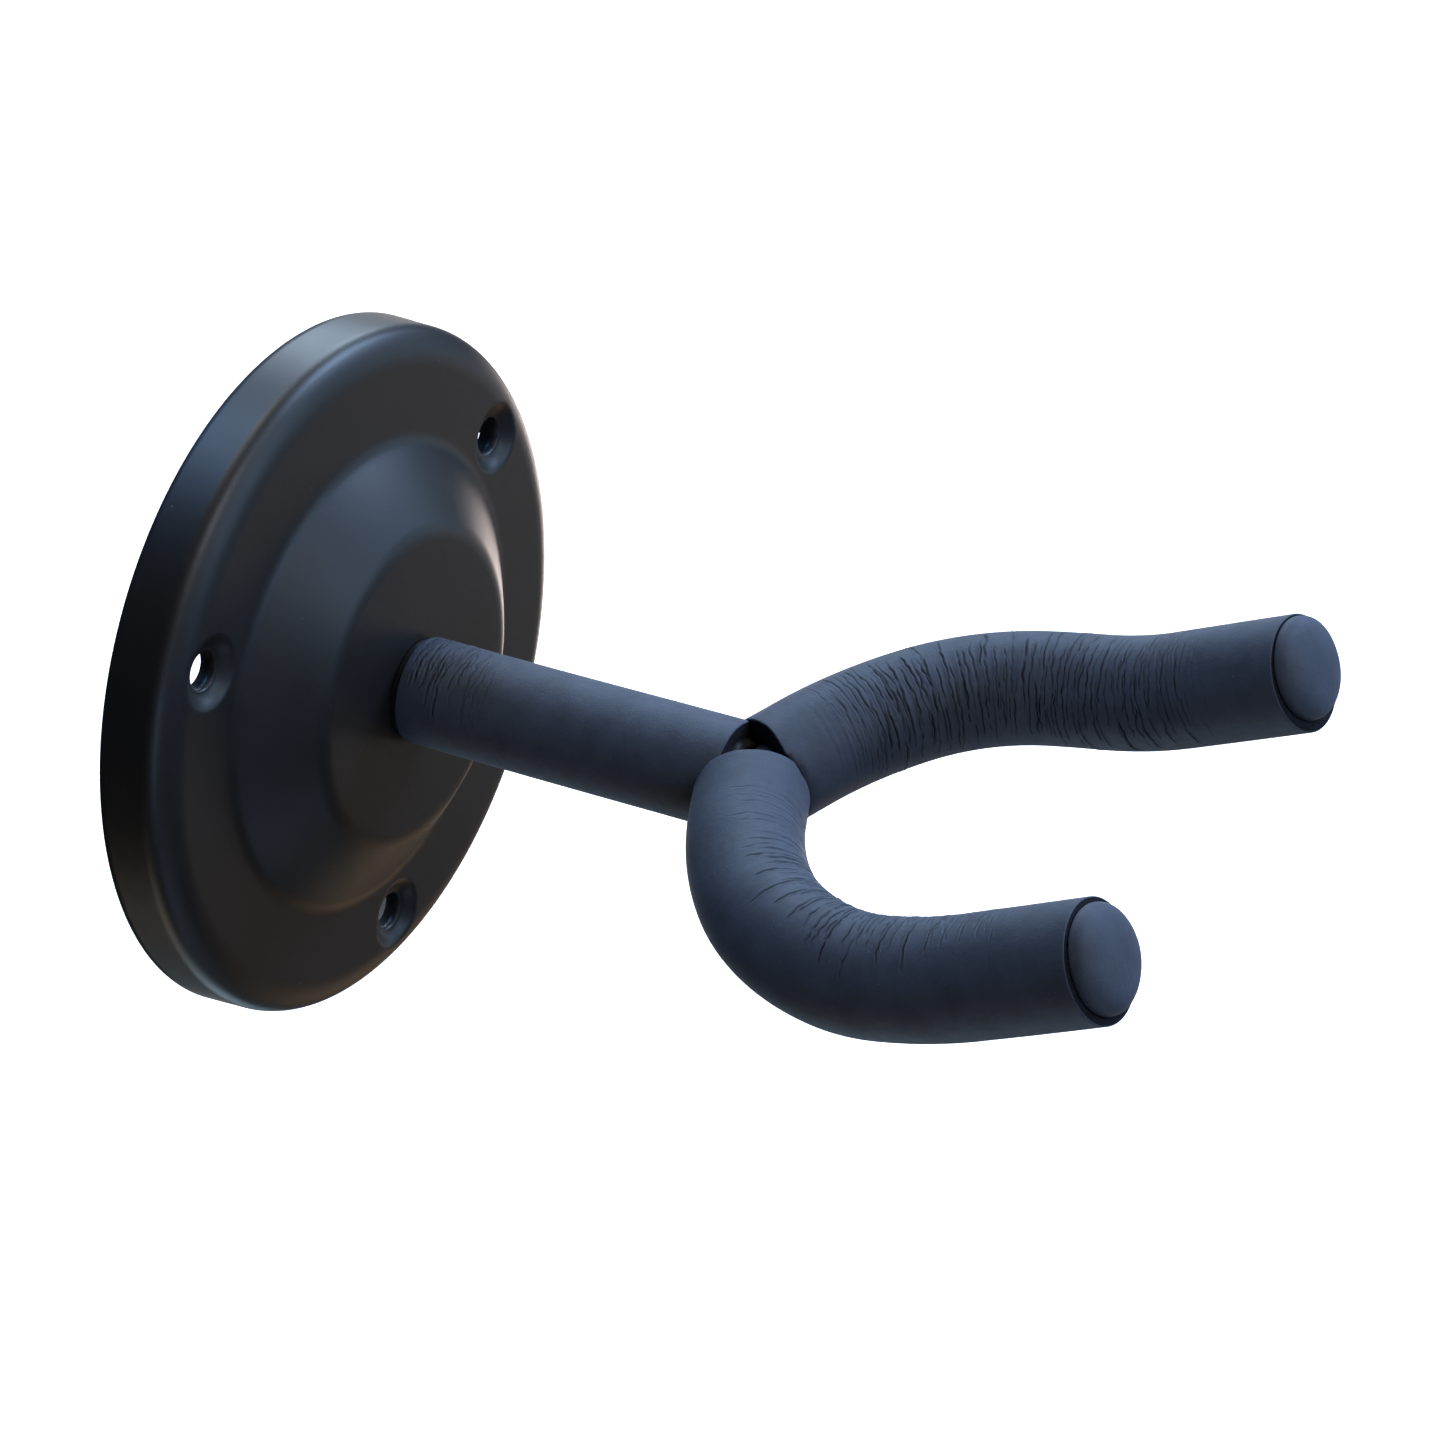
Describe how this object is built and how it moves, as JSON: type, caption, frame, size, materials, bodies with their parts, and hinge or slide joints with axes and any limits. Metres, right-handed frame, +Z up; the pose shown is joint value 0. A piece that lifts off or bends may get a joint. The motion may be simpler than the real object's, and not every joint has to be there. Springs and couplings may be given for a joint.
{
  "type": "wall guitar hanger",
  "caption": "Round pressed-steel wall plate with a foam-covered arm that carries a swivelling, upturned yoke for a guitar's headstock.",
  "frame": {"origin": "middle of the wall plate's back, in the wall's plane, on the axis that the yoke turns about", "axes": "-Y out of the wall along the arm, +Z up, +X to the right as seen from the room"},
  "size_m": [0.1, 0.1406, 0.1],
  "materials": {
    "plate_paint": "satin black paint",
    "black_steel": "matt black paint",
    "zinc_plate": "zinc plated",
    "foam": "matt closed-cell foam with a skin",
    "cap_foam": "matt moulded foam rubber",
    "black_plastic": "matt",
    "nylon": "natural nylon"
  },
  "bodies": {
    "wall_base": {"wall_plate": "plate_paint"},
    "yoke": {"front_washer": "black_plastic", "arm_collar": "black_steel", "arm_rod": "black_steel", "yoke_bar": "black_steel", "yoke_weld": "black_steel", "arm_sleeve": "foam", "left_fork_sleeve": "foam", "right_fork_sleeve": "foam", "left_tip_cap": "cap_foam", "right_tip_cap": "cap_foam", "flat_washer": "zinc_plate", "spring_washer": "black_steel", "lock_nut": "zinc_plate", "nylon_insert": "nylon"}
  },
  "joints": [
    {"name": "yoke_swivel", "type": "hinge", "parent": "wall_base", "child": "yoke", "pos_m": [0, 0, 0], "axis": [0, -1, 0], "continuous": true}
  ]
}
